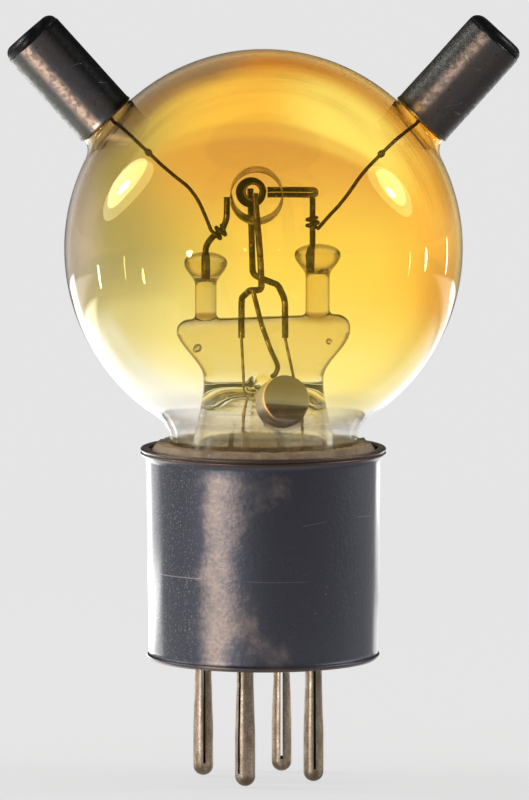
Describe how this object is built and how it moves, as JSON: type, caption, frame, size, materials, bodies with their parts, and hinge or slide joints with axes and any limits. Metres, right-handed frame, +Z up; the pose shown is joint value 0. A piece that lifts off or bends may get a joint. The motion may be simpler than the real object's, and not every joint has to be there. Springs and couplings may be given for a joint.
{
  "type": "triode tube",
  "caption": "Early radio triode: round amber glass bulb with two capped horns for grid and anode, level electrodes on a pressed glass stem, and a metal base with split pins.",
  "frame": {"origin": "on the tube's upright axis, in the plane of the four pin tips that it stands on", "axes": "+Z up along the tube's axis, +X towards the grid's horn (right in the picture), -Y towards the camera; the horns lie in the XZ plane and the electrodes along Y"},
  "size_m": [0.0814, 0.0634, 0.1223],
  "materials": {
    "bulb_glass": "clear blown glass with an amber and gold mirror deposit",
    "stem_glass": "clear, slightly yellow pressed and drawn glass",
    "anode_sheet": "thin nickel sheet, tarnished brown",
    "oxidised_wire": "dull brown nickel wire",
    "grid_wire": "dark wire with bright streaks",
    "tungsten": "drawn tungsten",
    "rod_wire": "nickel rod, tarnished brown",
    "feed_wire": "copper-clad sealing wire",
    "getter_sheet": "satin nickel sheet with a coppery edge",
    "lead_wire": "dark brown wire",
    "cap_metal": "dull zinc grey, stained and lightly scratched",
    "cap_cement": "hard cement",
    "tip_seal": "glossy black sealing compound",
    "base_metal": "dark lacquer worn to a pinkish bloom, with dust and scratches",
    "base_insulator": "dark brown moulded insulator",
    "base_cement": "granular grey-brown cement",
    "pin_metal": "nickel-plated brass, worn to tan",
    "hardware": "plain brass",
    "solder": "dull tin solder"
  },
  "bodies": {
    "root": {"glass_envelope": "bulb_glass", "stem_glass": "stem_glass", "exhaust_tube": "stem_glass", "left_pillar": "stem_glass", "right_pillar": "stem_glass", "anode": "anode_sheet", "anode_support": "oxidised_wire", "grid": "grid_wire", "grid_arm": "grid_wire", "grid_post": "oxidised_wire", "filament": "tungsten", "front_rod": "rod_wire", "rear_rod": "rod_wire", "left_feed": "feed_wire", "right_feed": "feed_wire", "getter_wire": "rod_wire", "getter_cup": "getter_sheet", "left_horn_lead": "lead_wire", "right_horn_lead": "lead_wire", "left_cap": "cap_metal", "right_cap": "cap_metal", "left_cap_cement": "cap_cement", "right_cap_cement": "cap_cement", "left_tip": "tip_seal", "right_tip": "tip_seal", "base_shell": "base_metal", "base_plate": "base_insulator", "base_cement": "base_cement", "front_pin": "pin_metal", "rear_pin": "pin_metal", "side_pin": "pin_metal", "far_pin": "pin_metal", "pin_washers": "hardware", "pin_nuts": "hardware", "pin_solder": "solder"}
  },
  "joints": []
}
